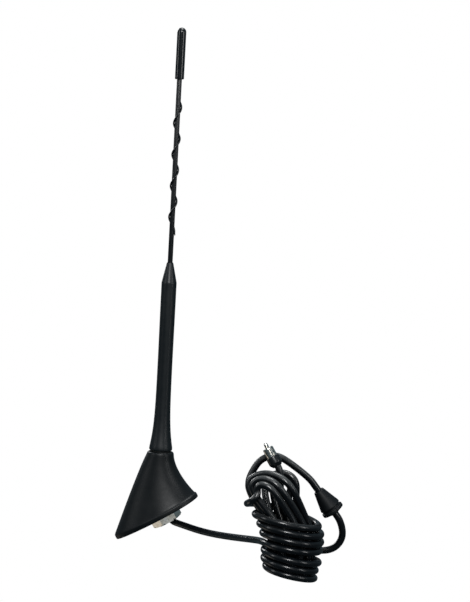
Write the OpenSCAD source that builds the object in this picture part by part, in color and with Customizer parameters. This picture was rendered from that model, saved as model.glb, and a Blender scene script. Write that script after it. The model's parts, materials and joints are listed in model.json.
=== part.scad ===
// Raked roof whip antenna with an amplified base and a wound coaxial lead.
// Origin: centre of the mounting stud on the roof plane. +Z runs up the mast, +X to its rear.

/* [Mast] */
// Height of the mast tip above the stud's centre on the roof plane
tip_z = 391.5; // [330:0.5:430]
// Diameter of the sleeved whip
whip_d = 4; // [3.4:0.1:5]
// Diameter of the moulded cap on the whip's end
cap_d = 7.2; // [6:0.1:9]
// Length of the end cap
cap_l = 41; // [25:1:60]
// Diameter of the slim part of the rubber grip
grip_d = 11.8; // [10.5:0.1:14]
// Diameter of the grip's foot
grip_foot_d = 18.8; // [17.6:0.1:20]
// Height of the top of the grip
grip_top_z = 204; // [190:1:212]
// Pitch of the anti-whistle spiral
spiral_pitch = 25; // [18:1:32]
// Diameter of the spiral's cord
spiral_d = 1.4; // [1.2:0.1:1.8]

/* [Base] */
// Angle between the roof plane and the plane square to the mast
roof_angle = 31.3; // [30:0.1:33]
// Distance of the mast axis in front of the stud's centre
mast_setback = 5.6; // [5:0.1:6]
// Length of the base along the roof
base_l = 74.7; // [73:0.1:77]
// Width of the base
base_w = 39; // [38.5:0.5:44]
// Height of the neck's top face above the stud's centre
neck_z = 51.2; // [50:0.1:52]
// Diameter of the neck's shoulder
neck_d = 21.6; // [21:0.1:23]
// Height of the lip round the base's rim
lip_h = 3.9; // [3:0.1:5]
// Wall thickness of the housing
wall = 2.4; // [2:0.1:2.6]

/* [Roof fixing] */
// Thread diameter of the hollow mounting stud
stud_d = 14; // [13:0.5:15]
// Width across flats of the mounting nut
nut_af = 22; // [21:0.5:24]
// Thickness of the mounting nut
nut_h = 6; // [4:0.5:7]

/* [Lead] */
// Diameter of the coaxial lead
lead_d = 5.4; // [5:0.1:5.4]
// Height of the floor that the hank stands on
floor_z = -22.6; // [-24:0.1:-20]
// Radius of the ring that the long loops form at the hank's waist
hank_core_r = 16.3; // [16.1:0.1:16.5]
// Distance between neighbouring wrapped turns
wrap_pitch = 6.2; // [6.15:0.05:6.25]
// Sides of the lead's cross-section
lead_sides = 8; // [6:1:8]

/* [Plug] */
// Diameter of the plug's split barrel
barrel_d = 8.4; // [8:0.1:9]
// Diameter of the plug's centre pin
pin_d = 3.2; // [3:0.1:3.4]
// Diameter of the moulded collar behind the barrel
collar_d = 10.6; // [10:0.1:11]

/* [Hidden] */

slip = 0.05;                    // radial gap of a running or screwed fit
fine = 96;                      // sides of a turned part
mast_x = -mast_setback;

/* ---- Frames and small helpers ---- */

// A point given along, across and above the roof plane
function roof_point(s, y, n) =
    [s * cos(roof_angle) - n * sin(roof_angle), y, s * sin(roof_angle) + n * cos(roof_angle)];

function unit(v) = v / norm(v);
function mix(a, b, f) = a * (1 - f) + b * f;
function smooth(f) = let (c = min(1, max(0, f))) c * c * (3 - 2 * c);
function arc(cx, cy, r, from, to, steps) =
    [for (i = [0:steps]) let (a = mix(from, to, i / steps)) [cx + r * cos(a), cy + r * sin(a)]];

module on_roof() {
    rotate([0, -roof_angle, 0]) children();
}

module on_mast(z = 0) {
    translate([mast_x, 0, z]) children();
}

// Turns a child that is built along +Z so that it runs from point p towards direction d
module along(p, d) {
    u = unit(d);
    translate(p) rotate([0, acos(u[2]), atan2(u[1], u[0])]) children();
}

module tube(r_out, r_in, h) {
    difference() {
        cylinder(r = r_out, h = h, $fn = fine);
        translate([0, 0, -1]) cylinder(r = r_in, h = h + 2, $fn = fine);
    }
}

// A bent wire: straight rods between the points, with a slightly larger ball in each bend
module wire(points, r) {
    ball_r = 1.06 * r;
    for (i = [0:len(points) - 2])
        along(points[i], points[i + 1] - points[i])
            cylinder(r = r, h = norm(points[i + 1] - points[i]), $fn = 24);
    for (i = [1:len(points) - 2])
        translate(points[i]) sphere(r = ball_r, $fn = 24);
}

/* ---- Swept cords: the spiral and the lead ---- */

// Direction of travel at each point of a path
function path_tangents(p) = let (n = len(p))
    [for (i = [0:n - 1]) unit(p[min(n - 1, i + 1)] - p[max(0, i - 1)])];

// Cross-section directions that turn as little as possible along the path
function path_normals(t) = let (n = len(t), first = unit(cross(t[0], [0.31, 0.22, 0.93])))
    [for (i = 0, v = first; i < n; i = i + 1,
        v = i < n ? unit(v - t[i] * (v * t[i])) : v) v];

module sweep(p, r, sides) {
    t = path_tangents(p);
    v = path_normals(t);
    n = len(p);
    ring = [for (i = [0:n - 1]) let (w = cross(t[i], v[i])) for (k = [0:sides - 1])
        let (a = 360 * k / sides) p[i] + r * (v[i] * cos(a) + w * sin(a))];
    walls = [for (i = [0:n - 2]) for (k = [0:sides - 1])
        let (a = i * sides + k, b = i * sides + (k + 1) % sides)
        each [[a, b + sides, b], [a, a + sides, b + sides]]];
    ends = [[for (k = [0:sides - 1]) k], [for (k = [sides - 1:-1:0]) (n - 1) * sides + k]];
    polyhedron(points = ring, faces = concat(walls, ends), convexity = 12);
}

// A smooth curve through the given points
function curve_point(a, b, c, d, f) =
    0.5 * (2 * b + (c - a) * f + (2 * a - 5 * b + 4 * c - d) * f * f
        + (3 * b - a - 3 * c + d) * f * f * f);
function curve(p, steps) = let (n = len(p))
    concat([for (i = [0:n - 2]) for (j = [0:steps - 1])
        curve_point(p[max(0, i - 1)], p[i], p[i + 1], p[min(n - 1, i + 2)], j / steps)],
        [p[n - 1]]);

/* ---- Mast ---- */

seal_h = 1;                             // thickness of the seal under the grip
foot_z = neck_z + seal_h;               // underside of the grip
stud_head_h = 2;
former_z = foot_z + stud_head_h;        // bottom of the coil former
former_r = 3.2;
former_l = 64;
ferrule_z = former_z + former_l;
ferrule_h = 10;
core_r = 1;
mast_thread_r = 2.5;                    // M5
mast_thread_l = 8.6;
cap_z = tip_z - cap_l;

module mast_tip_cap() {
    r = cap_d / 2;
    edge = 1.2;
    sleeve_top = cap_z + 10;
    outline = concat(
        [[0, 0]],
        arc(r - edge, edge, edge, -90, 0, 6),
        arc(0, cap_l - r, r, 0, 90, 12));
    color([0.05, 0.05, 0.055])
    difference() {
        on_mast(cap_z) rotate_extrude($fn = fine) polygon(outline);
        on_mast(cap_z - 1) cylinder(r = whip_d / 2 + 0.02, h = sleeve_top - cap_z + 1, $fn = fine);
        on_mast(cap_z) cylinder(r = core_r + 0.02, h = cap_l - 3, $fn = 48);
    }
}

module whip_core() {
    color("silver")
    on_mast(ferrule_z + 1) cylinder(r = core_r, h = tip_z - 3.2 - ferrule_z - 1, $fn = 48);
}

module whip_sleeve() {
    color([0.07, 0.07, 0.075])
    on_mast(ferrule_z + ferrule_h + 0.2)
        tube(whip_d / 2, core_r + 0.02, cap_z + 9.8 - ferrule_z - ferrule_h - 0.2);
}

spiral_low_z = 225;
spiral_high_z = tip_z - 55.5;
spiral_right_z = 228;                   // a height at which the cord stands to the rear
spiral_steps = 20;                      // straight lengths in one turn

module wind_spiral() {
    r = whip_d / 2 + spiral_d / 2 + 0.06;
    turns = (spiral_high_z - spiral_low_z) / spiral_pitch;
    path = [for (i = [0:ceil(turns * spiral_steps)])
        let (z = min(spiral_high_z, spiral_low_z + i * spiral_pitch / spiral_steps),
            a = 360 * (z - spiral_right_z) / spiral_pitch)
        [mast_x + r * cos(a), r * sin(a), z]];
    color([0.05, 0.05, 0.055]) sweep(path, spiral_d / 2, 8);
}

grip_cavity_r = 3.95;
grip_shoulder_z = grip_top_z - 16;
flare_decay = 15.8;                     // height over which the grip's foot fades into its stem
flare_power = 1.15;

function grip_r(z) = let (h = max(0, z - foot_z - 1.2))
    grip_d / 2 + (grip_foot_d - grip_d) / 2 * exp(-pow(h / flare_decay, flare_power));

module mast_grip() {
    edge = 1.2;
    swell = 0.15;
    shoulder_r = grip_d / 2 + swell;
    top_r = whip_d / 2 + 0.6;
    foot = arc(grip_foot_d / 2 - edge, foot_z + edge, edge, -90, 0, 5);
    stem = [for (i = [1:22]) let (z = mix(foot_z + edge, foot_z + 75, pow(i / 22, 1.4)))
        [grip_r(z), z]];
    shoulder = concat([[shoulder_r, grip_shoulder_z - 16]],
        arc(shoulder_r - 9, grip_shoulder_z, 9, 0, 18, 4));
    outline = concat([[0, foot_z]], foot, stem, shoulder,
        arc(top_r - 0.8, grip_top_z - 0.8, 0.8, 15, 90, 4), [[0, grip_top_z]]);
    color([0.09, 0.09, 0.09])
    difference() {
        on_mast() rotate_extrude($fn = fine) polygon(outline);
        on_mast(foot_z - 1) cylinder(r = 6.55, h = stud_head_h + 1.02, $fn = fine);
        on_mast(foot_z) cylinder(r = grip_cavity_r, h = ferrule_z + ferrule_h - foot_z + 0.1, $fn = fine);
        on_mast(foot_z) cylinder(r = whip_d / 2 + 0.02, h = grip_top_z - foot_z + 1, $fn = fine);
    }
}

module coil_former() {
    color("ivory")
    difference() {
        on_mast(former_z + 0.05) cylinder(r = former_r, h = former_l - 0.1, $fn = fine);
        on_mast(former_z) cylinder(r = mast_thread_r + 0.02, h = 8.2, $fn = fine);
    }
}

coil_turns = 56;

module loading_coil() {
    pitch = (former_l - 8) / coil_turns;
    wire_r = pitch / 2;
    r = former_r + 0.02;
    ripple = [for (i = [0:coil_turns - 1]) each arc(r + 0.12, (i + 0.5) * pitch, wire_r, -80, 80, 2)];
    color([0.72, 0.38, 0.16])
    on_mast(former_z + 4) rotate_extrude($fn = 48)
        polygon(concat([[r, 0]], ripple, [[r, coil_turns * pitch]]));
}

module whip_ferrule() {
    color([0.75, 0.6, 0.3])
    difference() {
        on_mast(ferrule_z) cylinder(r = former_r, h = ferrule_h, $fn = fine);
        on_mast(ferrule_z + 0.98) cylinder(r = core_r + 0.02, h = ferrule_h, $fn = 48);
    }
}

module mast_stud() {
    color([0.8, 0.8, 0.78]) on_mast() {
        translate([0, 0, foot_z - mast_thread_l]) cylinder(r = mast_thread_r, h = mast_thread_l, $fn = fine);
        translate([0, 0, foot_z]) cylinder(r = 6.5, h = stud_head_h, $fn = fine);
        translate([0, 0, former_z]) cylinder(r = mast_thread_r, h = 8, $fn = fine);
    }
}

module mast_foot_seal() {
    color([0.05, 0.05, 0.05])
    on_mast(neck_z + 0.01) tube(8.3, mast_thread_r + 0.1, seal_h - 0.02);
}

/* ---- Base ---- */

base_mid_s = -6.15;                     // middle of the base, behind or ahead of the stud
egg = 0.18;                             // how much fuller the rear is than the nose
around = 56;                            // points round the housing
shoulder_drop = 1.7;                    // height of the neck's rounded shoulder
bore_r = 6.1;                           // hole in the top of the housing

// The base's plan outline, drawn in by a given amount
function outline_point(a, inset) = let (l = base_l / 2 - inset, w = base_w / 2 - inset)
    [base_mid_s + l * cos(a), w * sin(a) * (1 + egg * cos(a))];
function plan(inset) = [for (i = [0:around - 1]) outline_point(360 * i / around, inset)];

function roof_ring(inset, n) = [for (i = [0:around - 1])
    let (a = 360 * i / around, p = outline_point(a, inset)) roof_point(p[0], p[1], n)];
function lip_step(a) = 0.15 + 0.5 * (1 + cos(a));
function wall_foot_ring(extra, n) = [for (i = [0:around - 1])
    let (a = 360 * i / around, p = outline_point(a, lip_step(a) + extra)) roof_point(p[0], p[1], n)];
function neck_ring(r, z) = [for (i = [0:around - 1])
    let (a = 360 * i / around) [mast_x + r * cos(a), r * sin(a), z]];

// The wall is hollow-cheeked at the rear and almost straight at the nose
function wall_power(a) = 1.3 + 0.4 * cos(a);
function wall_ring(foot, head, f) = [for (i = [0:around - 1])
    let (g = pow(1 - f, wall_power(360 * i / around)), p = foot[i], q = head[i])
    [mix(q[0], p[0], g), mix(q[1], p[1], g), mix(p[2], q[2], f)]];

module ring_shell(rings) {
    n = len(rings);
    points = [for (r = rings) each r];
    faces = [for (i = [0:n - 1]) for (k = [0:around - 1])
        let (a = i * around + k, b = i * around + (k + 1) % around,
            c = ((i + 1) % n) * around + k, d = ((i + 1) % n) * around + (k + 1) % around)
        each [[a, c, b], [b, c, d]]];
    polyhedron(points = points, faces = faces, convexity = 8);
}

module base_housing() {
    outer_foot = wall_foot_ring(0, lip_h + 0.3);
    outer_head = neck_ring(neck_d / 2, neck_z - shoulder_drop);
    inner_foot = roof_ring(wall + 0.5, 1.8);
    inner_head = neck_ring(neck_d / 2 - wall, neck_z - 4);
    outer_steps = 14;
    inner_steps = 8;
    rings = concat(
        [roof_ring(0.4, 0), roof_ring(0, 0.4), roof_ring(0, lip_h - 0.6), roof_ring(0.25, lip_h - 0.15)],
        [for (i = [0:outer_steps]) wall_ring(outer_foot, outer_head, i / outer_steps)],
        [for (a = [30, 60, 90]) neck_ring(neck_d / 2 - shoulder_drop * (1 - cos(a)),
            neck_z - shoulder_drop * (1 - sin(a)))],
        [neck_ring(bore_r, neck_z), neck_ring(bore_r, neck_z - 2)],
        [for (i = [0:inner_steps]) wall_ring(inner_foot, inner_head, 1 - i / inner_steps)],
        [roof_ring(wall, 0)]);
    color([0.1, 0.1, 0.105]) ring_shell(rings);
}

gasket_h = 1.6;
plate_n = gasket_h + 0.05;              // underside of the core's plate
plate_h = 3;
plate_top = plate_n + plate_h;
recess_r = nut_af / sqrt(3) + 0.6;      // the washer's recess in the gasket, clear of the nut
recess_h = 0.9;
tower_r = neck_d / 2 - wall - 0.1;
insulator_r = 5.98;
socket_r = 4.2;
lead_offset = 2.6;                      // the lead's bore is behind the stud's centre
board_n = plate_top + 1.5;
board_h = 1.6;
screw_spots = [[-18.5, 6], [-18.5, -6], [-27, 0]];

module base_core() {
    color([0.66, 0.67, 0.68])
    difference() {
        union() {
            on_roof() translate([0, 0, plate_n]) linear_extrude(plate_h)
                polygon([for (a = [0:5:355])
                    [base_mid_s - 0.4 + (base_l / 2 - 7.6) * cos(a),
                        (base_w / 2 - 5.2) * sin(a) * (1 + egg * cos(a))]]);
            intersection() {
                on_mast(-20) cylinder(r = tower_r, h = neck_z + 15.8, $fn = fine);
                on_roof() translate([-60, -60, plate_n]) cube([120, 120, 90]);
            }
            for (p = screw_spots)
                on_roof() translate([p[0], p[1], plate_top - 1]) cylinder(r = 2, h = 2.5, $fn = 32);
        }
        intersection() {
            on_mast(-20) cylinder(r = insulator_r + 0.04, h = 100, $fn = fine);
            on_roof() translate([-60, -60, plate_top]) cube([120, 120, 90]);
        }
        translate([mast_x - 20, -4.5, 0]) cube([20, 9, 13]);
        on_roof() translate([0, 0, -1]) cylinder(r = stud_d / 2 + slip, h = plate_top + 1.1, $fn = fine);
        on_roof() translate([lead_offset, 0, 0]) cylinder(r = 3.6, h = 12, $fn = 48);
        for (p = screw_spots)
            on_roof() translate([p[0], p[1], plate_top - 2]) cylinder(r = 1.02, h = 5, $fn = 24);
    }
}

socket_z = 36;

module mast_socket() {
    color([0.78, 0.62, 0.32])
    difference() {
        on_mast() {
            translate([0, 0, socket_z]) cylinder(r = socket_r, h = neck_z - 0.3 - socket_z, $fn = fine);
            translate([0, 0, socket_z - 4]) cylinder(r = 1, h = 5, $fn = 32);
        }
        on_mast(foot_z - mast_thread_l - 1.5)
            cylinder(r = mast_thread_r + slip, h = mast_thread_l + 2, $fn = fine);
    }
}

module socket_insulator() {
    color("ivory")
    difference() {
        on_mast(socket_z - 2) cylinder(r = insulator_r, h = neck_z - 0.1 - socket_z + 2, $fn = fine);
        on_mast(socket_z - 0.02) cylinder(r = socket_r + 0.02, h = 30, $fn = fine);
        on_mast(socket_z - 3) cylinder(r = 1.02, h = 5, $fn = 32);
    }
}

module amplifier_board() {
    color([0.05, 0.35, 0.16])
    on_roof() translate([0, 0, board_n]) difference() {
        linear_extrude(board_h) polygon([[-29.5, -5], [-16, -9], [-16, 9], [-29.5, 5]]);
        for (p = screw_spots)
            translate([p[0], p[1], -1]) cylinder(r = 1.1, h = 4, $fn = 24);
    }
}

module board_components() {
    top = board_n + board_h;
    color([0.2, 0.2, 0.22]) on_roof() {
        translate([-24.5, -3, top]) cube([5.5, 6, 1.8]);
        translate([-17.8, -2.2, top]) cube([1.2, 2, 0.6]);
        translate([-17.8, 1.4, top]) cube([1.2, 2, 0.6]);
        translate([-22.5, 4.4, top]) cube([2, 1.2, 0.7]);
        translate([-22.5, -5.6, top]) cube([2, 1.2, 0.7]);
    }
}

module board_screws() {
    top = board_n + board_h;
    color("silver") on_roof() for (p = screw_spots) translate([p[0], p[1], 0]) difference() {
        union() {
            translate([0, 0, top]) cylinder(r = 1.8, h = 1.1, $fn = 32);
            translate([0, 0, plate_top - 1.5]) cylinder(r = 1, h = top - plate_top + 1.6, $fn = 24);
        }
        translate([-0.2, -1.2, top + 0.6]) cube([0.4, 2.4, 1]);
        translate([-1.2, -0.2, top + 0.6]) cube([2.4, 0.4, 1]);
    }
}

module signal_wire() {
    board_end = roof_point(-16.7, 4.4, board_n + board_h + 0.01);
    color([0.8, 0.2, 0.15])
    wire([[mast_x, 0, socket_z - 4.02], [mast_x, 0, 12], [mast_x - 6, 2, 7.4],
        board_end + [-0.4, 0, 1.2], board_end], 0.4);
}

module base_gasket() {
    color([0.07, 0.07, 0.07])
    difference() {
        on_roof() linear_extrude(gasket_h) polygon(plan(wall + 0.7));
        on_roof() translate([0, 0, -1]) cylinder(r = recess_r, h = recess_h + 1, $fn = fine);
        on_roof() translate([0, 0, -1]) cylinder(r = stud_d / 2 + 0.15, h = 4, $fn = fine);
    }
}

washer_h = 1.25;
nut_top = recess_h - washer_h;          // height of the nut's upper face
nut_turn = 10;                          // how far the nut's flats are turned from the base's length

module mounting_stud() {
    color([0.78, 0.78, 0.76])
    difference() {
        on_roof() translate([0, 0, nut_top - nut_h + 0.4])
            cylinder(r = stud_d / 2, h = plate_top - nut_top + nut_h - 0.4, $fn = fine);
        on_roof() translate([lead_offset, 0, -20]) cylinder(r = 3.1, h = 40, $fn = fine);
    }
}

module claw_washer() {
    color([0.7, 0.7, 0.72])
    on_roof() translate([0, 0, recess_h - washer_h + 0.01]) difference() {
        cylinder(r = 11.6, h = washer_h - 0.02, $fn = fine);
        translate([0, 0, -1]) cylinder(r = stud_d / 2 + slip, h = 4, $fn = fine);
        for (a = [0:30:330]) rotate(a) translate([10.4, -0.8, washer_h / 2]) cube([3, 1.6, 2]);
    }
}

module mounting_nut() {
    corner = nut_af / sqrt(3);
    chamfer = 1.1;
    color([0.82, 0.82, 0.78])
    on_roof() translate([0, 0, nut_top - nut_h]) rotate(nut_turn) difference() {
        intersection() {
            cylinder(r = corner, h = nut_h, $fn = 6);
            rotate_extrude($fn = fine) polygon([[0, 0], [corner - chamfer, 0],
                [corner, chamfer * 0.6], [corner, nut_h], [0, nut_h]]);
        }
        translate([0, 0, -1]) cylinder(r = stud_d / 2 + slip, h = nut_h + 2, $fn = fine);
        translate([0, 0, -0.01]) cylinder(r1 = stud_d / 2 + 0.8, r2 = stud_d / 2 + slip, h = 0.8, $fn = fine);
    }
}

/* ---- Lead ---- */

lead_r = lead_d / 2;
hank_x = 101.4;                         // middle of the hank's ball
hank_y = -132;
hank_lean = -16.5;                      // how far the hank's top leans over
lean_from = 32;
lean_to = 76;
twist_low = 10;                         // turn of the long loops at the hank's bottom
twist_total = 35;
twist_from = 44;
twist_to = 84;
taper_low = 0.8;                        // how far the hank draws in at its bottom
taper_from = 6;
taper_to = 20;
flare_from = 48;
flare_to = 76;
hank_flare = 1.36;                      // spread of the loops at the hank's top
lower_tilt = 0.12;                      // fall of the lower wrapped turns from left to right
middle_tilt = 0.18;                     // of the first upper turn
upper_tilt = 0.28;                      // and of the last

function hank_middle(t) = hank_x + hank_lean * smooth((t - lean_from) / (lean_to - lean_from));
function hank_spread(t) = mix(taper_low, 1, smooth((t - taper_from) / (taper_to - taper_from)))
    * mix(1, hank_flare, smooth((t - flare_from) / (flare_to - flare_from)));
function hank_twist(t) = twist_low - twist_total * smooth((t - twist_from) / (twist_to - twist_from));

// A point of the hank: height t, then across u and towards the front w before the twist
function hank_point(t, u, w) = let (a = hank_twist(t), f = hank_spread(t))
    [hank_middle(t) + f * (u * cos(a) + w * sin(a)), hank_y - f * (w * cos(a) - u * sin(a)),
    floor_z + t];

// The long loops stand in a ring. Loop i has a strand on the left and one on the right.
loop_step = 360 / 14;
function loop_u(i) = hank_core_r * cos(i * loop_step);
function loop_w(i) = hank_core_r * sin(i * loop_step);
function loop_top(i) = [88, 85, 82, 78][abs(i)];
function bend_rise(i) = [15, 15, 13, 9][abs(i)];
function loop_bulge(i, t) = abs(i) == 3 ? 2.2 * smooth((t - 50) / 16) : 0;

strand_levels = [15, 25, 35, 45, 55];

function strand(i, side, t) = hank_point(t, side * (loop_u(i) + loop_bulge(i, t)), loop_w(i));
function strand_up(i, levels = strand_levels) = [for (t = levels) strand(i, -1, t)];
function strand_down(i, levels = strand_levels) =
    [for (k = [len(levels) - 1:-1:0]) strand(i, 1, levels[k])];
function top_bend(i) = let (spring = loop_top(i) - bend_rise(i))
    [for (a = [180:-30:0]) let (t = spring + bend_rise(i) * sin(a))
        hank_point(t, (loop_u(i) + loop_bulge(i, 70)) * cos(a), loop_w(i))];

// A bottom bend from loop i's right strand to loop j's left strand
function bottom_bend(i, j, low) = let (drop = 15 - low)
    [for (a = [30:30:150]) let (f = a / 180)
        hank_point(15 - drop * sin(a), mix(loop_u(i), loop_u(j), f) * cos(a),
            mix(loop_w(i), loop_w(j), f))];

// A point outside the long loops, at angle a round the hank and mean height t
function reversed(list) = [for (i = [len(list) - 1:-1:0]) list[i]];

wrap_gap = 6.15;
function wrap_point(a, t, tilt, extra = 0) =
    let (h = t - tilt * 21 * cos(a), side = 1.35 * abs(cos(a)) * smooth((h - 26) / 14),
        r = hank_core_r * hank_spread(h) + wrap_gap + side + extra)
    [hank_middle(h) + r * cos(a), hank_y + r * sin(a), floor_z + h];

wrap_step = 30;
upper_start = 26.6;                     // mean height at which the lead joins the upper turns
upper_pitch = wrap_pitch + 0.4;         // wider, because the upper turns tilt more and more
upper_end = 180 + 360 * 4;
upper_wraps = [for (a = [180:wrap_step:upper_end]) let (f = (a - 180) / (upper_end - 180))
    wrap_point(a, upper_start + upper_pitch * (a - 180) / 360, mix(middle_tilt, upper_tilt, f))];
lower_exit = 23.7;                      // mean height at which the lead leaves the lower turns
lower_from = 10;
lower_to = -1010;
lower_wraps = [for (a = [lower_from:-wrap_step:lower_to])
    wrap_point(a, lower_exit - wrap_pitch * (a - lower_to) / 360, lower_tilt)];

// From the last upper turn the lead climbs into the first long loop
climb = [wrap_point(207, 56, upper_tilt, 0.3), wrap_point(231, 62, upper_tilt, 0.6)];

front_loops = concat(
    top_bend(3), strand_down(3), bottom_bend(3, 2, 10.5),
    strand_up(2), top_bend(2), strand_down(2), bottom_bend(2, 1, 5.4),
    strand_up(1), top_bend(1), strand_down(1));
under_middle = [hank_point(8.5, 13.6, 6), hank_point(4.6, 9, 1), hank_point(4.2, 4.6, -5),
    hank_point(8.4, 3.2, -12.4)];
back_turn = [hank_point(10, -3.9, -15.7), hank_point(6.9, -7.2, -14.2), hank_point(10, -10.3, -12.7)];
back_loops = concat(
    reversed(strand_down(-3)), reversed(top_bend(-3)), reversed(strand_up(-3)), back_turn,
    strand_up(-2), top_bend(-2), strand_down(-2));
descent = [strand(-2, 1, 9.5), wrap_point(46, 6.6, lower_tilt, -3.6), wrap_point(28, 5.6, lower_tilt, -1.2)];

// The lead from the stud to the hank
stud_mouth_n = nut_top - nut_h + 0.4;
lead_start = [roof_point(lead_offset, 0, 4), roof_point(lead_offset, 0, -1),
    roof_point(lead_offset, 0, stud_mouth_n), roof_point(lead_offset + 0.9, -0.3, stud_mouth_n - 3.1),
    roof_point(lead_offset + 3.8, -2, stud_mouth_n - 5.6)];
lead_span = [[19.5, -13, -6.8], [30, -30, -6.6], [42, -50, -4.8], [54, -72, -1.8], [66, -95, 1.8],
    [75, -114, 4.9]];

// The loose loop, the straight run that carries the grommet, and the arch over the hank
grommet_dir = unit([-29.6, -4.5, 37.2]);
grommet_at = [133, -118.5, 30.4];       // outer face of the grommet's boss
run_l = 35;
loose_loop = [[125.2, -112, -1.8], [134, -113, 0.8], [139.7, -114.2, 7.6], [140.6, -115.4, 15],
    [138, -116.8, 23]];
straight_run = [for (d = [-5:5:run_l]) grommet_at + grommet_dir * d];
arch = [[95.5, -124, 68.9], [88.6, -124, 72.8], [82.4, -124, 73.6], [76.4, -124, 71],
    [71.6, -124, 67.2], [69.2, -124, 61.5]];

// The plug's tail goes down the left side, round below and up the middle of the hank
plug_dir = unit([-0.52, 0.2, 0.81]);
plug_at = [86.9, -135.8, 67.2];          // bottom of the moulded collar
tail_down = [for (t = [75, 66, 55, 45, 35, 25, 15]) hank_point(t, -hank_core_r, 0)];
tail_round = [hank_point(11.2, -14, 0), hank_point(9, -9, 0), hank_point(9.5, -4, 0), hank_point(14, -1, 0)];
tail_up = [for (t = [22, 32, 42, 52, 62]) hank_point(t, 0, 0)];
tail_end = [plug_at - plug_dir * 8, plug_at, plug_at + plug_dir * 1.5];

lead_points = concat(
    lead_start, lead_span, upper_wraps, climb, front_loops, under_middle, back_loops,
    descent, lower_wraps, loose_loop, straight_run, arch, tail_down, tail_round,
    tail_up, tail_end);
lead_path = curve(lead_points, 2);

module coax_lead() {
    color([0.06, 0.06, 0.07]) sweep(lead_path, lead_r, lead_sides);
}

module lead_dielectric() {
    color("white")
    on_roof() translate([lead_offset, 0, 4.05]) cylinder(r = 1.4, h = 3.45, $fn = 32);
}

module lead_braid_collar() {
    color([0.72, 0.45, 0.25])
    on_roof() translate([lead_offset, 0, 4.05]) tube(2.6, 1.42, 1.6);
}

module lead_conductor() {
    pad = roof_point(-16.7, -4.4, board_n + board_h + 0.01);
    color([0.75, 0.45, 0.25])
    wire([roof_point(lead_offset, 0, 7.52), roof_point(lead_offset, 0, 9), roof_point(-1, -1.5, 11),
        roof_point(-11, -3.4, 10.6), pad + [-0.2, 0, 1.2], pad], 0.35);
}

grommet_l = 19.7;

module panel_grommet() {
    bore = lead_r + slip;
    outline = [[bore, 0], [4.6, 0], [4.6, 1.6], [8.7, 1.6], [8.9, 1.9], [8.9, 3.9], [8.6, 4.2],
        [7.2, 4.2], [7.2, 6], [8.3, 6], [8.3, 6.7], [4.2, grommet_l + 1.6], [3.9, grommet_l + 2],
        [bore, grommet_l + 2]];
    color([0.08, 0.08, 0.08])
    along(grommet_at, grommet_dir) rotate_extrude($fn = fine) polygon(outline);
}

/* ---- Plug ---- */

collar_l = 8.2;
barrel_l = 11.4;                        // of which the collar covers the rear part
barrel_z = 4.4;                         // start of the barrel inside the collar
barrel_end = barrel_z + barrel_l;
barrel_wall = 0.65;
barrel_step = 0.25;                     // the covered part of the barrel is thinner by this
barrel_free_z = collar_l + 0.2;         // where the barrel's free part starts
insulator_l = 6;
pin_free = 9.8;

module plug_collar() {
    r = collar_d / 2;
    color([0.1, 0.1, 0.1])
    along(plug_at, plug_dir) difference() {
        rotate_extrude($fn = fine) polygon(concat([[0, 0], [lead_r + 0.5, 0]],
            arc(r - 1.6, 3, 1.6, -70, 0, 5), arc(r - 1, collar_l - 1, 1, 0, 90, 5), [[0, collar_l]]));
        translate([0, 0, -1]) cylinder(r = lead_r + 0.02, h = 3, $fn = 48);
        translate([0, 0, 1.6]) cylinder(r = barrel_d / 2 - 0.6, h = barrel_z - 1.6 + 0.01, $fn = 48);
        translate([0, 0, barrel_z - 0.02])
            cylinder(r = barrel_d / 2 - barrel_step + 0.02, h = 20, $fn = fine);
    }
}

module plug_crimp() {
    color([0.8, 0.8, 0.78])
    along(plug_at, plug_dir) translate([0, 0, 1.65]) difference() {
        cylinder(r = barrel_d / 2 - 0.65, h = barrel_z - 1.72, $fn = 48);
        translate([0, 0, -1]) cylinder(r = 1.1, h = 10, $fn = 32);
    }
}

module plug_barrel() {
    r = barrel_d / 2;
    color([0.85, 0.85, 0.84])
    along(plug_at, plug_dir) difference() {
        rotate_extrude($fn = fine) polygon([[r - barrel_wall, barrel_z], [r - barrel_step, barrel_z],
            [r - barrel_step, barrel_free_z], [r, barrel_free_z],
            [r, barrel_end - 0.5], [r - 0.3, barrel_end], [r - barrel_wall, barrel_end]]);
        for (a = [0, 90]) rotate(a + 20)
            translate([-r - 1, -0.35, barrel_end - 5.6]) cube([2 * r + 2, 0.7, 7]);
    }
}

module plug_insulator() {
    color("ivory")
    along(plug_at, plug_dir) translate([0, 0, barrel_z + 0.05]) difference() {
        cylinder(r = barrel_d / 2 - barrel_wall - 0.02, h = insulator_l, $fn = fine);
        translate([0, 0, -1]) cylinder(r = 1.22, h = insulator_l + 2, $fn = 48);
    }
}

module plug_pin() {
    r = pin_d / 2;
    face = barrel_z + 0.05 + insulator_l;
    color([0.85, 0.85, 0.84])
    along(plug_at, plug_dir) {
        translate([0, 0, barrel_z - 1.5]) cylinder(r = 1, h = 2, $fn = 32);
        translate([0, 0, barrel_z + 0.1]) cylinder(r = 1.2, h = insulator_l, $fn = 48);
        translate([0, 0, face + 0.02]) rotate_extrude($fn = fine)
            polygon(concat([[0, 0], [r, 0]], arc(0.4, pin_free - 1.2, r - 0.4, 0, 90, 8),
                [[0, pin_free]]));
    }
}

/* ---- Assembly ---- */

mast_tip_cap();
whip_core();
whip_sleeve();
wind_spiral();
mast_grip();
coil_former();
loading_coil();
whip_ferrule();
mast_stud();
mast_foot_seal();
base_housing();
base_core();
mast_socket();
socket_insulator();
amplifier_board();
board_components();
board_screws();
signal_wire();
base_gasket();
mounting_stud();
claw_washer();
mounting_nut();
coax_lead();
lead_dielectric();
lead_braid_collar();
lead_conductor();
panel_grommet();
plug_pin();
plug_insulator();
plug_barrel();
plug_crimp();
plug_collar();
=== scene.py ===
import json
import math

import bmesh
import bpy
from mathutils import Matrix, Vector


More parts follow.
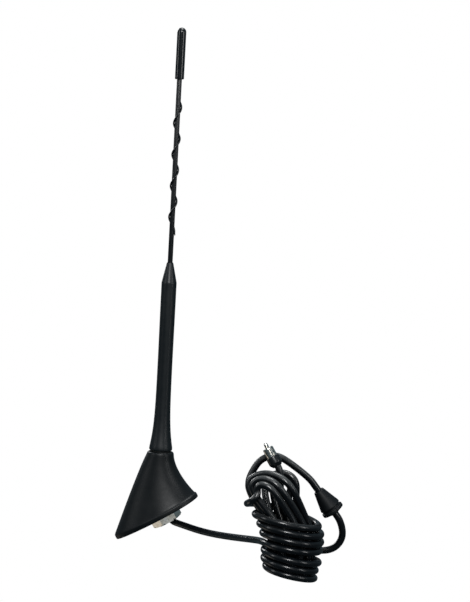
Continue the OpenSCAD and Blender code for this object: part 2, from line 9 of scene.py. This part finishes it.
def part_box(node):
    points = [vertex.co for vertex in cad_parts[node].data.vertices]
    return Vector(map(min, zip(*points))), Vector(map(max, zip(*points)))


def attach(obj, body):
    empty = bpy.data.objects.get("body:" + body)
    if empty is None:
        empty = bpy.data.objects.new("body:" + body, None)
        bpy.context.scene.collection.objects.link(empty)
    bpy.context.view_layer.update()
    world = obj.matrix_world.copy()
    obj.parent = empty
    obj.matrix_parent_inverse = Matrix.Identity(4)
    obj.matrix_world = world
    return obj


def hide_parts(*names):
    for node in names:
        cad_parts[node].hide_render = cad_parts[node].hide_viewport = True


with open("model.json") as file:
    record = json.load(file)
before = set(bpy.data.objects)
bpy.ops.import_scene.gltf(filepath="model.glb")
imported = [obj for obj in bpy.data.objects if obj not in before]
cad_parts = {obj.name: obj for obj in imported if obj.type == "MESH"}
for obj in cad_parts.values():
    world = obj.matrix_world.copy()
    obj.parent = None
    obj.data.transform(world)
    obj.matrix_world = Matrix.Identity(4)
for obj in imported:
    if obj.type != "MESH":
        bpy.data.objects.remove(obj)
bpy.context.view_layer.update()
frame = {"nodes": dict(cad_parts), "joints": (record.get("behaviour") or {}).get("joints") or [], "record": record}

MM = 0.001
SAME_SPOT = 0.002 * MM   # corners closer than this are one corner
NODES = frame["nodes"]
MOUNTS = {m["name"]: m for m in frame["record"]["mounts"]}
JOINTS = {j["name"]: j for j in frame["joints"]}
ROOF_DOWN = Vector(MOUNTS["roof_seat"]["axis"])
ROOF_UP = -ROOF_DOWN
UP = Vector((0, 0, 1))
ACROSS = Vector((0, 1, 0))
REARWARD = ACROSS.cross(ROOF_UP)
MAST = Vector(JOINTS["mast_turn"]["pos_m"])


# ---- Shader helpers ----

def node_material(name):
    """A new node material, with its tree and its main shader."""
    mat = bpy.data.materials.new(name)
    mat.use_nodes = True
    tree = mat.node_tree
    return mat, tree, tree.nodes["Principled BSDF"]


def add(tree, kind, **settings):
    """Adds a shader node and sets its properties and its inputs."""
    made = tree.nodes.new(kind)
    for key, value in settings.items():
        if hasattr(made, key):
            setattr(made, key, value)
        else:
            made.inputs[key.replace("_", " ")].default_value = value
    return made


def noise(tree, scale, detail=4.0, rough=0.5, stretch=(1, 1, 1)):
    """Noise over the object's own coordinates, in metres, with features 1/scale across."""
    place = add(tree, "ShaderNodeTexCoord")
    fit = add(tree, "ShaderNodeMapping")
    fit.inputs["Scale"].default_value = stretch
    tree.links.new(place.outputs["Object"], fit.inputs["Vector"])
    made = add(tree, "ShaderNodeTexNoise", Scale=scale, Detail=detail, Roughness=rough)
    tree.links.new(fit.outputs["Vector"], made.inputs["Vector"])
    return made.outputs["Fac"]


def remap(tree, value, low, high, start=0.3, stop=0.7):
    """Turns a value between start and stop into one between low and high."""
    made = add(tree, "ShaderNodeMapRange")
    made.inputs["From Min"].default_value = start
    made.inputs["From Max"].default_value = stop
    made.inputs["To Min"].default_value = low
    made.inputs["To Max"].default_value = high
    tree.links.new(value, made.inputs["Value"])
    return made.outputs["Result"]


def blend_colours(tree, factor, first, second):
    made = add(tree, "ShaderNodeMix", data_type="RGBA")
    tree.links.new(factor, made.inputs["Factor"])
    for socket, colour in ((made.inputs[6], first), (made.inputs[7], second)):
        if isinstance(colour, tuple):
            socket.default_value = (*colour, 1)
        else:
            tree.links.new(colour, socket)
    return made.outputs[2]


def upward(tree):
    """How far a surface faces up, from 0 to 1."""
    shape = add(tree, "ShaderNodeNewGeometry")
    split = add(tree, "ShaderNodeSeparateXYZ")
    tree.links.new(shape.outputs["Normal"], split.inputs["Vector"])
    return remap(tree, split.outputs["Z"], 0, 1, 0.0, 1.0)


def height_share(tree, low, high):
    """0 below a height and 1 above another, in metres."""
    place = add(tree, "ShaderNodeTexCoord")
    split = add(tree, "ShaderNodeSeparateXYZ")
    tree.links.new(place.outputs["Object"], split.inputs["Vector"])
    return remap(tree, split.outputs["Z"], 0, 1, low, high)


def times(tree, first, second):
    made = add(tree, "ShaderNodeMath", operation="MULTIPLY")
    for socket, value in zip(made.inputs, (first, second)):
        if isinstance(value, (int, float)):
            socket.default_value = value
        else:
            tree.links.new(value, socket)
    return made.outputs["Value"]


def bump(tree, shader, height, depth_mm, strength=1.0, under=None):
    made = add(tree, "ShaderNodeBump", Strength=strength, Distance=depth_mm * MM)
    tree.links.new(height, made.inputs["Height"])
    if under is not None:
        tree.links.new(under, made.inputs["Normal"])
    tree.links.new(made.outputs["Normal"], shader.inputs["Normal"])
    return made.outputs["Normal"]


# ---- Materials ----

def polymer(name, colour, dust_and_sheen, rough, grain=2400, grain_depth=0.02, gloss=0.35, coat=0.0,
            dust_and_sheen_above=None):
    """Black rubber or plastic: a fine grain, patches of wear in its gloss, and a lighter colour on upward faces,
    which stands for dust and for a painted sheen.
    """
    mat, tree, shader = node_material(name)
    patches = noise(tree, 90, detail=5, rough=0.6)
    fine = noise(tree, grain, detail=3)
    # Upward faces, in patches, turn towards the second colour: dust, with a painted sheen where the light from
    # above falls.
    dust_and_sheen_mask = times(tree, upward(tree), remap(tree, patches, 0.35, 1.0))
    # Where a height range is given, only faces above it get the dust and painted sheen.
    if dust_and_sheen_above:
        dust_and_sheen_mask = times(tree, dust_and_sheen_mask, height_share(tree, *dust_and_sheen_above))
    tree.links.new(blend_colours(tree, dust_and_sheen_mask, colour, dust_and_sheen), shader.inputs["Base Color"])
    tree.links.new(remap(tree, patches, rough[0], rough[1]), shader.inputs["Roughness"])
    shader.inputs["Specular IOR Level"].default_value = gloss
    shader.inputs["Coat Weight"].default_value = coat
    shader.inputs["Coat Roughness"].default_value = 0.18
    wave = bump(tree, shader, noise(tree, 170, detail=2), 0.12, 0.35)
    bump(tree, shader, fine, grain_depth, 0.6, under=wave)
    return mat


def metal(name, colour, tarnish, rough, brushed=(1, 1, 1), scratch=0.006):
    """Plated or turned metal: tarnish in patches, and fine scratches along one way."""
    mat, tree, shader = node_material(name)
    patches = noise(tree, 240, detail=6, rough=0.65)
    lines = noise(tree, 900, detail=3, rough=0.7, stretch=brushed)
    tree.links.new(
        blend_colours(tree, remap(tree, patches, 0, 1, 0.42, 0.66), colour, tarnish),
        shader.inputs["Base Color"],
    )
    shader.inputs["Metallic"].default_value = 1
    tree.links.new(remap(tree, lines, rough[0], rough[1]), shader.inputs["Roughness"])
    bump(tree, shader, lines, scratch, 0.5)
    return mat


def soft_plastic(name, colour, shade, rough=(0.35, 0.5)):
    """Pale moulded plastic or insulation, with faint flow marks."""
    mat, tree, shader = node_material(name)
    flow = noise(tree, 150, detail=3, stretch=(1, 1, 0.3))
    tree.links.new(blend_colours(tree, flow, colour, shade), shader.inputs["Base Color"])
    tree.links.new(remap(tree, flow, rough[0], rough[1]), shader.inputs["Roughness"])
    shader.inputs["Subsurface Weight"].default_value = 0.05
    shader.inputs["Subsurface Radius"].default_value = (MM, MM, MM)
    bump(tree, shader, noise(tree, 1800), 0.01, 0.4)
    return mat


def circuit_board(name):
    """Green solder mask over a faint pattern of copper tracks."""
    mat, tree, shader = node_material(name)
    place = add(tree, "ShaderNodeTexCoord")
    tracks = add(tree, "ShaderNodeTexBrick", Scale=260)
    tree.links.new(place.outputs["Object"], tracks.inputs["Vector"])
    lines = remap(tree, tracks.outputs["Fac"], 0, 1, 0.2, 0.8)
    green, copper = (0.01, 0.11, 0.035), (0.03, 0.2, 0.06)
    tree.links.new(blend_colours(tree, lines, green, copper), shader.inputs["Base Color"])
    shader.inputs["Roughness"].default_value = 0.28
    bump(tree, shader, lines, 0.03, 0.5)
    return mat


# The second colour of each polymer is its dust and painted sheen, laid on upward faces.
FINISHES = {
    "cap_plastic": polymer("cap_plastic", (0.003, 0.004, 0.005), (0.006, 0.007, 0.008), (0.16, 0.24),
                           grain_depth=0.004, gloss=0.45, coat=0.25),
    "whip_plastic": polymer("whip_plastic", (0.003, 0.004, 0.005), (0.006, 0.008, 0.009), (0.28, 0.38),
                            grain_depth=0.006, gloss=0.4),
    "grip_rubber": polymer("grip_rubber", (0.0034, 0.0055, 0.0070), (0.007, 0.010, 0.0125), (0.34, 0.46),
                           grain=1100, grain_depth=0.04, gloss=0.4),
    "housing_rubber": polymer("housing_rubber", (0.0025, 0.0036, 0.0045), (0.006, 0.007, 0.008),
                              (0.36, 0.48), grain=1100, grain_depth=0.05, gloss=0.3),
    "seal_rubber": polymer("seal_rubber", (0.003, 0.004, 0.004), (0.006, 0.007, 0.007), (0.55, 0.7)),
    "grommet_rubber": polymer("grommet_rubber", (0.0030, 0.0040, 0.0050), (0.007, 0.008, 0.010),
                              (0.4, 0.55), grain_depth=0.016, gloss=0.22),
    "collar_plastic": polymer("collar_plastic", (0.003, 0.004, 0.0045), (0.008, 0.009, 0.010),
                              (0.24, 0.34), grain_depth=0.008, gloss=0.45),
    # The lead's pale second colour lightens its upper loops: partly dust, partly painted light from above falling
    # on them.
    "lead_jacket": polymer("lead_jacket", (0.0018, 0.0024, 0.0034), (0.12, 0.122, 0.12), (0.2, 0.32),
                           grain_depth=0.005, gloss=0.42, coat=0.1, dust_and_sheen_above=(0.02, 0.06)),
    "plated_steel": metal("plated_steel", (0.72, 0.70, 0.66), (0.46, 0.42, 0.35), (0.14, 0.26)),
    "nut_plate": metal("nut_plate", (0.80, 0.78, 0.74), (0.60, 0.55, 0.45), (0.18, 0.34),
                       brushed=(1, 1, 6), scratch=0.003),
    "spring_steel": metal("spring_steel", (0.55, 0.55, 0.55), (0.4, 0.4, 0.4), (0.25, 0.4),
                          brushed=(6, 6, 1)),
    "zinc": metal("zinc", (0.60, 0.61, 0.62), (0.46, 0.47, 0.48), (0.4, 0.6)),
    "brass": metal("brass", (0.83, 0.63, 0.30), (0.62, 0.42, 0.18), (0.18, 0.3)),
    "copper": metal("copper", (0.90, 0.48, 0.28), (0.62, 0.30, 0.16), (0.2, 0.34)),
    "former_plastic": soft_plastic("former_plastic", (0.80, 0.75, 0.60), (0.72, 0.66, 0.50)),
    "dielectric": soft_plastic("dielectric", (0.86, 0.86, 0.84), (0.78, 0.78, 0.75)),
    "insulation": soft_plastic("insulation", (0.55, 0.05, 0.03), (0.45, 0.04, 0.02)),
    "chip_plastic": soft_plastic("chip_plastic", (0.02, 0.02, 0.022), (0.03, 0.03, 0.032), (0.5, 0.65)),
    "board": circuit_board("board"),
}


def finish_node(name, slot):
    """Gives a CAD node its material."""
    piece = NODES[name]
    if not piece.material_slots:
        piece.data.materials.append(None)
    for place in piece.material_slots:
        place.material = FINISHES[slot]


# ---- Mesh helpers ----

def new_piece(name, mesh, slot, body, *cad_nodes):
    """Links a mesh as a piece that rides on a body and stands for CAD nodes."""
    piece = bpy.data.objects.new(name, mesh)
    bpy.context.scene.collection.objects.link(piece)
    mesh.materials.append(FINISHES[slot])
    mesh.polygons.foreach_set("use_smooth", [True] * len(mesh.polygons))
    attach(piece, body)
    if cad_nodes:
        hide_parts(*cad_nodes)
    return piece


def modify(piece, kind, **settings):
    made = piece.modifiers.new(kind.lower(), kind)
    for key, value in settings.items():
        setattr(made, key, value)
    return made


def welded(node):
    """A copy of a CAD node's mesh in which the faces share their corners."""
    shape = bmesh.new()
    shape.from_mesh(NODES[node].data)
    bmesh.ops.remove_doubles(shape, verts=shape.verts, dist=SAME_SPOT)
    shape.verts.index_update()
    return shape


def ring_centres(node, near):
    """The middle line of a swept cord: ring after ring of its corners, from the end near a point."""
    shape = welded(node)
    ring = end_cap(min(shape.verts, key=lambda v: (v.co - near).length))
    seen = set(ring)
    centres = []
    while ring:
        ring.sort(key=lambda v: v.index)       # in one order, so that every run adds up alike
        centres.append(sum((v.co for v in ring), Vector()) / len(ring))
        nearby = {e.other_vert(v) for v in ring for e in v.link_edges}
        ring = [v for v in nearby if v not in seen]
        seen.update(ring)
    shape.free()
    return centres


def end_cap(corner):
    """All corners of the flat end face that a corner belongs to."""
    best = []
    for face in corner.link_faces:
        found, edge_of = {face}, [face]
        while edge_of:
            here = edge_of.pop()
            for edge in here.edges:
                for other in edge.link_faces:
                    if other not in found and other.normal.dot(face.normal) > 0.9999:
                        found.add(other)
                        edge_of.append(other)
        corners = {v for f in found for v in f.verts}
        if len(found) > len(corners) - 3 and len(corners) > len(best):
            best = list(corners)
    return best


def catmull(points, steps):
    """A smooth line through points, with a number of steps between each two."""
    line = []
    last = len(points) - 1
    for i in range(last):
        a, b = points[max(0, i - 1)], points[i]
        c, d = points[i + 1], points[min(last, i + 2)]
        for j in range(steps):
            f = j / steps
            line.append(0.5 * (2 * b + (c - a) * f + (2 * a - 5 * b + 4 * c - d) * f * f
                               + (3 * b - a - 3 * c + d) * f * f * f))
    line.append(points[last])
    return line


def eased(points, rounds):
    """Points drawn a little towards their neighbours, which takes the kinks out of their line."""
    for _ in range(rounds):
        inner = [(a + 2 * b + c) / 4 for a, b, c in zip(points, points[1:], points[2:])]
        points = [points[0], *inner, points[-1]]
    return points


def tube_mesh(name, line, radius, sides):
    """A round tube along a line. radius is a function of the share of the way along."""
    shape = bmesh.new()
    count = len(line)
    across = (line[1] - line[0]).orthogonal().normalized()
    rings = []
    for i, point in enumerate(line):
        ahead = (line[min(count - 1, i + 1)] - line[max(0, i - 1)]).normalized()
        across = (across - ahead * across.dot(ahead)).normalized()
        side = ahead.cross(across)
        r = radius(i / (count - 1))
        ring = []
        for k in range(sides):
            turn = 2 * math.pi * k / sides
            ring.append(shape.verts.new(point + r * (across * math.cos(turn) + side * math.sin(turn))))
        rings.append(ring)
    for low, high in zip(rings, rings[1:]):
        for k in range(sides):
            shape.faces.new((low[k], low[k - 1], high[k - 1], high[k]))
    shape.faces.new(rings[0])
    shape.faces.new(reversed(rings[-1]))
    bmesh.ops.recalc_face_normals(shape, faces=shape.faces)
    mesh = bpy.data.meshes.new(name)
    shape.to_mesh(mesh)
    shape.free()
    return mesh


def axes(direction):
    """Unit vectors along a direction, and two ways across it."""
    lift = Vector(direction).normalized()
    across = lift.orthogonal().normalized()
    return lift, across, lift.cross(across)


def turned_mesh(name, profile, base, direction, sides=64, radius_at=None, spans=((0, 360),)):
    """A closed profile of (radius, height) in millimetres, turned about an axis through base.

    spans are the arcs, in degrees, over which the profile is turned; radius_at may change the
    radius of a point by its height and its turn.
    """
    shape = bmesh.new()
    lift, across, side = axes(direction)
    for start, stop in spans:
        whole = abs(stop - start - 360) < 0.001
        count = max(3, round(sides * (stop - start) / 360))
        arcs = []
        for k in range(count if whole else count + 1):
            turn = math.radians(start + (stop - start) * k / count)
            out = across * math.cos(turn) + side * math.sin(turn)
            arcs.append([shape.verts.new(base + (out * (radius_at(r, z, turn) if radius_at else r)
                                                 + lift * z) * MM) for r, z in profile])
        for here, after in zip(arcs, arcs[1:] + (arcs[:1] if whole else [])):
            for i in range(len(profile)):
                shape.faces.new((here[i - 1], here[i], after[i], after[i - 1]))
        if not whole:
            shape.faces.new(arcs[0])
            shape.faces.new(reversed(arcs[-1]))
    bmesh.ops.recalc_face_normals(shape, faces=shape.faces)
    mesh = bpy.data.meshes.new(name)
    shape.to_mesh(mesh)
    shape.free()
    return mesh


def axis_start(node, direction):
    """The lowest point of a round CAD node's own axis, which points along direction."""
    lift, across, side = axes(direction)
    corners = [NODES[node].matrix_world @ v.co for v in NODES[node].data.vertices]
    spot = lift * min(c.dot(lift) for c in corners)
    for way in (across, side):
        reach = [c.dot(way) for c in corners]
        spot += way * (min(reach) + max(reach)) / 2
    return spot


def rounded(corners, steps=5):
    """A closed profile from corners (radius, height, rounding), with arcs for its rounded corners."""
    line = []
    count = len(corners)
    for i, (r, z, soft) in enumerate(corners):
        here = Vector((r, z))
        before = Vector(corners[i - 1][:2]) - here
        after = Vector(corners[(i + 1) % count][:2]) - here
        if soft == 0:
            line.append((r, z))
            continue
        half = before.angle(after) / 2
        cut = min(soft / math.tan(half), 0.49 * before.length, 0.49 * after.length)
        start = here + before.normalized() * cut
        stop = here + after.normalized() * cut
        for j in range(steps + 1):
            f = j / steps
            spot = start * (1 - f) ** 2 + here * 2 * f * (1 - f) + stop * f * f
            line.append((spot.x, spot.y))
    return line


# ---- Pieces ----

LEAD_R = 2.7 * MM
LEAD_START = (ROOF_UP * 4 + REARWARD * 2.6) * MM        # near its inner end
SPIRAL_R = 0.7 * MM
STUD_R = 7.0


def finished(name, profile, base, direction, sides, sharp_angle, slot, body, node, **shaping):
    """A turned piece with sharp edges kept, in place of a CAD node."""
    mesh = turned_mesh(name, profile, base, direction, sides, **shaping)
    mesh.set_sharp_from_angle(angle=math.radians(sharp_angle))
    return new_piece(name, mesh, slot, body, node)


def make_lead():
    """The whole lead as one smooth round cord, along the middle of the CAD lead."""
    line = catmull(eased(ring_centres("coax_lead", LEAD_START), 3), 3)
    mesh = tube_mesh("lead_jacket_cord", line, lambda share: LEAD_R, 20)
    return new_piece("lead_jacket_cord", mesh, "lead_jacket", "base", "coax_lead")


def make_spiral():
    """The raised cord on the whip, fading into the whip at both ends."""
    low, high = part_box("wind_spiral")
    centres = ring_centres("wind_spiral", Vector((high[0], MAST.y, low[2])))
    line = catmull(centres, 4)
    fade = 0.02          # share of the length over which each end thins
    thinnest = 0.35

    def radius(share):
        edge = min(1, share / fade, (1 - share) / fade)
        return SPIRAL_R * (thinnest + (1 - thinnest) * edge)

    mesh = tube_mesh("whistle_spiral", line, radius, 14)
    return new_piece("whistle_spiral", mesh, "whip_plastic", "mast", "wind_spiral")


def make_housing():
    """The base's skin as one smooth subdivided shell over the CAD housing."""
    shape = welded("base_housing")
    bmesh.ops.join_triangles(shape, faces=shape.faces, angle_face_threshold=math.radians(50),
                             angle_shape_threshold=math.radians(80))
    bmesh.ops.recalc_face_normals(shape, faces=shape.faces)
    mesh = bpy.data.meshes.new("housing_skin")
    shape.to_mesh(mesh)
    shape.free()
    piece = new_piece("housing_skin", mesh, "housing_rubber", "base", "base_housing")
    modify(piece, "SUBSURF", levels=2, render_levels=2)
    return piece


def softened(piece, width_mm):
    """Rounds a piece's edges a little and shades it smooth."""
    piece.data.polygons.foreach_set("use_smooth", [True] * len(piece.data.polygons))
    modify(piece, "WELD", merge_threshold=SAME_SPOT)
    modify(piece, "BEVEL", width=width_mm * MM, segments=3, limit_method="ANGLE",
           angle_limit=math.radians(30), harden_normals=True, use_clamp_overlap=True)


GRIP_FOOT_R = 9.4
GRIP_STEM_R = 5.9
GRIP_EDGE = 1.2


def flare(z):
    """Radius of the grip's foot and stem at a height above its underside."""
    fade, power = 15.8, 1.15
    return GRIP_STEM_R + (GRIP_FOOT_R - GRIP_STEM_R) * math.exp(-(max(0, z - GRIP_EDGE) / fade) ** power)


def make_grip():
    """The rubber grip: a flared foot, a long stem and a coned shoulder."""
    length, cone, bore, cavity = 151.8, 16, 2.1, 4
    shoulder, shoulder_r = length - cone, 6.05
    foot = rounded([(cavity, 0, 0), (GRIP_FOOT_R, 0, GRIP_EDGE), (flare(3), 3, 0)])[:-1]
    stem = [(flare(z), z) for z in [2.4 + 1.6 * i for i in range(46)]]
    top = rounded([(shoulder_r, shoulder - 16, 0), (shoulder_r, shoulder, 5), (2.55, length, 0.7),
                   (bore, length, 0)])
    inside = [(bore, length - 4), (cavity, length - 20)]
    return finished("grip_moulding", foot + stem + top + inside, axis_start("mast_grip", UP), UP, 128, 50,
                    "grip_rubber", "mast", "mast_grip")


def make_cap():
    """The glossy cap, with its rounded lower edge and its dome."""
    bore, bore_high, bore_end, middle = 1.9, 10, 12, 0.02
    low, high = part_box("mast_tip_cap")
    radius = (high[0] - low[0]) / 2 / MM
    length = (high[2] - low[2]) / MM
    dome = [(radius * math.cos(math.radians(a)), length - radius + radius * math.sin(math.radians(a)))
            for a in range(0, 90, 6)]
    inside = [(middle, length), (middle, bore_end), (bore, bore_high)]
    profile = rounded([(bore, 0, 0.1), (radius, 0, 0.9), (radius, 2, 0)]) + dome + inside
    return finished("cap_moulding", profile, axis_start("mast_tip_cap", UP), UP, 96, 50,
                    "cap_plastic", "mast", "mast_tip_cap")


def corner_turn(node, base, direction):
    """The turn, about an axis, of the corner of a CAD node that lies farthest from that axis."""
    lift, across, side = axes(direction)
    reach = [NODES[node].matrix_world @ v.co - base for v in NODES[node].data.vertices]
    far = max(reach, key=lambda c: (c - lift * c.dot(lift)).length)
    return math.atan2(far.dot(side), far.dot(across))


def thread(pitch, depth):
    """Cuts a thread into a turned wall: the radius falls and rises once in a pitch."""
    def radius_at(r, z, turn):
        share = (z / pitch - turn / (2 * math.pi)) % 1
        return r - depth * abs(2 * share - 1)
    return radius_at


def wall(r, low, high, step):
    """Points up a straight wall, close enough together to carry a thread."""
    count = max(1, round((high - low) / step))
    return [(r, low + (high - low) * i / count) for i in range(count + 1)]


def make_nut():
    """The clamp nut: chamfered corners, a countersunk mouth and a threaded bore."""
    half_flats, height, chamfer, mouth, lead_in = 11.0, 6.0, 1.1, 0.8, 0.4
    corner = half_flats / math.cos(math.radians(30))
    bore_r = STUD_R + 0.4
    threaded = thread(pitch=1.5, depth=0.35)
    facing = Vector(JOINTS["nut_turn"]["axis"])
    base = axis_start("mounting_nut", facing)
    first_corner = corner_turn("mounting_nut", base, facing)

    def radius_at(r, z, turn):
        if r <= bore_r + 0.05:
            return threaded(r, z, turn) if mouth < z < height - lead_in else r
        flat = half_flats / math.cos((turn - first_corner) % (math.pi / 3) - math.pi / 6)
        return min(r, flat)

    outer = [(corner - chamfer, 0), (corner, chamfer * 0.6)] + wall(corner, 1.2, height - 0.6, 0.8)
    outer += [(corner, height - 0.3), (corner - 0.9, height)]
    bore = [(bore_r, height)] + list(reversed(wall(bore_r, mouth, height - lead_in, 0.19)))
    profile = [(r, height - z) for r, z in outer + bore + [(STUD_R + mouth, 0)]]
    start = math.degrees(first_corner)
    return finished("nut_forging", profile, base, facing, 144, 24, "nut_plate", "nut", "mounting_nut",
                    radius_at=radius_at, spans=((start, start + 360),))


def make_grommet():
    """The lead's grommet: a lipped boss, a scalloped flange, a groove and a long tapered skirt."""
    bore, boss_r, flange_r, groove_r, skirt_r, length = 2.78, 4.6, 8.85, 7.2, 8.3, 21.7
    flange_low, flange_high, groove_high = 1.6, 4.2, 6
    notches, notch_depth = 10, 0.22

    def radius_at(r, z, turn):
        if r > flange_r - 0.4 and z < flange_high + 0.1:
            return r - notch_depth * max(0, math.cos(notches * turn)) ** 6
        return r

    corners = [(bore, 0, 0.2), (boss_r, 0, 0.6), (boss_r, flange_low, 0.5), (flange_r, flange_low, 0.5),
               (flange_r, flange_high, 0.6), (groove_r, flange_high, 0.35), (groove_r, groove_high, 0.35),
               (skirt_r, groove_high, 0.4), (skirt_r - 0.1, groove_high + 0.9, 0.5),
               (4.15, length - 0.4, 0.5), (3.8, length, 0.3), (bore, length, 0.2)]
    axis = Vector(JOINTS["grommet_slide"]["axis"])
    return finished("grommet_moulding", rounded(corners), axis_start("panel_grommet", axis), axis, 120, 60,
                    "grommet_rubber", "grommet", "panel_grommet", radius_at=radius_at)


PLUG_AXIS = Vector(MOUNTS["plug_barrel"]["axis"])


def plug_piece(name, profile, sides, sharp_angle, slot, node, **shaping):
    """A turned piece on the plug's axis. Heights count from the back of the collar."""
    return finished(name, profile, axis_start("plug_collar", PLUG_AXIS), PLUG_AXIS, sides, sharp_angle,
                    slot, "base", node, **shaping)


def make_collar():
    """The moulded collar behind the barrel."""
    length, widest, mouth = 8.2, 5.3, 3.98
    outer = rounded([(2.75, 0, 0.1), (3.5, 0, 0.4), (widest, 2.6, 1.2), (widest, length, 0.7),
                     (mouth, length, 0)])
    plug_piece("collar_moulding", outer + [(mouth, 4.4), (3.6, 1.6)], 96, 50, "collar_plastic",
               "plug_collar")


def make_barrel():
    """The metal barrel: four petals with slits between them, on a whole sleeve."""
    inner, covered, outer, tip = 3.6, 3.92, 4.15, 15.78
    low, step, slit_low, slit_half_angle = 4.5, 8.4, 10.2, 4.8
    petal = rounded([(inner, slit_low, 0), (outer, slit_low, 0), (4.2, 14.4, 0.6), (4.0, 15.5, 0.3),
                     (3.7, tip, 0.15), (3.55, 15.5, 0)])
    spans = [(turn + slit_half_angle, turn + 90 - slit_half_angle) for turn in (0, 90, 180, 270)]
    plug_piece("barrel_petals", petal, 96, 40, "plated_steel", "plug_barrel", spans=spans)
    sleeve = rounded([(inner, low, 0), (covered, low, 0), (covered, step, 0), (outer, step, 0.1),
                      (outer, slit_low, 0), (inner, slit_low, 0)])
    plug_piece("barrel_sleeve", sleeve, 96, 40, "plated_steel", "plug_barrel")


def make_pin():
    """The centre pin, with its round nose."""
    radius, low, nose_low, nose_length, middle = 1.6, 10.6, 17.9, 2.35, 0.01
    nose = [(radius * math.sin(math.radians(a)), nose_low + nose_length * math.cos(math.radians(a)))
            for a in range(0, 91, 9)]
    profile = [(middle, low), (radius - 0.05, low)] + list(reversed(nose))[:-1]
    plug_piece("pin_turning", profile + [(middle, nose_low + nose_length)], 64, 50, "plated_steel",
               "plug_pin")


def plain_finishes():
    """Every CAD node gets its slot's material, including those that a piece hides."""
    for part in frame["record"]["subparts"]:
        finish_node(part["node"], part["material_slot"])


EDGE_MM = {
    "whip_sleeve": 0.1, "base_gasket": 0.4, "claw_washer": 0.12, "mounting_stud": 0.25,
    "mast_foot_seal": 0.2, "base_core": 0.3, "mast_socket": 0.15, "amplifier_board": 0.08,
    "board_components": 0.1, "board_screws": 0.1, "mast_stud": 0.2, "whip_ferrule": 0.2,
}

plain_finishes()
make_lead()
make_spiral()
make_housing()
make_grip()
make_cap()
make_nut()
make_grommet()
make_collar()
make_barrel()
make_pin()
for node, edge in EDGE_MM.items():
    softened(NODES[node], edge)


# ---- Light and camera ----

def make_world():
    """A white backdrop for the camera. The object itself sees a dim room that is brighter above."""
    world = bpy.data.worlds.new("studio")
    bpy.context.scene.world = world
    world.use_nodes = True
    tree = world.node_tree
    room = tree.nodes["Background"]
    room.inputs["Color"].default_value = (0.62, 0.86, 1, 1)
    place = add(tree, "ShaderNodeTexCoord")
    split = add(tree, "ShaderNodeSeparateXYZ")
    tree.links.new(place.outputs["Generated"], split.inputs["Vector"])
    tree.links.new(remap(tree, split.outputs["Z"], 0.07, 0.24, -0.4, 0.8), room.inputs["Strength"])
    backdrop = add(tree, "ShaderNodeBackground", Color=(1, 1, 1, 1), Strength=1.0)
    ray = add(tree, "ShaderNodeLightPath")
    choice = add(tree, "ShaderNodeMixShader")
    tree.links.new(ray.outputs["Is Camera Ray"], choice.inputs[0])
    tree.links.new(room.outputs["Background"], choice.inputs[1])
    tree.links.new(backdrop.outputs["Background"], choice.inputs[2])
    tree.links.new(choice.outputs["Shader"], tree.nodes["World Output"].inputs["Surface"])


def soft_light(name, place, target, size, power, colour=(1, 1, 1)):
    data = bpy.data.lights.new(name, "AREA")
    data.shape = "RECTANGLE"
    data.size, data.size_y = size
    data.energy = power
    data.color = colour
    lamp = bpy.data.objects.new(name, data)
    bpy.context.scene.collection.objects.link(lamp)
    lamp.location = place
    lamp.rotation_euler = (Vector(target) - Vector(place)).to_track_quat("-Z", "Y").to_euler()


def make_light():
    """Lamps ahead, at the sides, behind and overhead, and two dim cards for the nut to mirror."""
    middle = (0.03, -0.06, 0.15)
    soft_light("key", (0.02, -1.5, 0.95), middle, (0.3, 0.5), 17)
    soft_light("fill", (1.2, -0.9, 0.5), middle, (0.25, 0.8), 4)
    soft_light("rim", (-1.1, -0.5, 0.6), middle, (0.2, 0.8), 2.5)
    soft_light("top", (0.1, 0.1, 1.4), middle, (0.5, 0.4), 9)
    soft_light("back", (-1.0, 1.3, 0.8), middle, (0.4, 0.7), 9)
    nut = (0, 0, -0.01)
    soft_light("nut_front", (0.38, -1.25, 0.07), nut, (0.35, 0.35), 0.2)
    soft_light("nut_left", (-0.93, 0.28, -0.71), nut, (0.6, 0.6), 0.8, (1, 0.90, 0.76))


def make_camera():
    """A long lens, a little above the object, tipped a little to one side."""
    distance = 2.6
    aim = Vector((0.0478, 0, 0.1759))
    down = math.radians(6.8)
    lean = math.radians(3.05)
    data = bpy.data.cameras.new("camera")
    data.sensor_width = 36
    data.lens = 194.35
    ahead = Vector((0, math.cos(down), -math.sin(down)))
    right = Vector((1, 0, 0))
    up = right.cross(ahead)
    tipped_right = right * math.cos(lean) + up * math.sin(lean)
    tipped_up = up * math.cos(lean) - right * math.sin(lean)
    camera = bpy.data.objects.new("camera", data)
    bpy.context.scene.collection.objects.link(camera)
    turn = Matrix((tipped_right, tipped_up, -ahead)).transposed().to_4x4()
    camera.matrix_world = Matrix.Translation(aim - ahead * distance) @ turn
    bpy.context.scene.camera = camera


make_world()
make_light()
make_camera()
bpy.context.scene.view_settings.view_transform = "Standard"
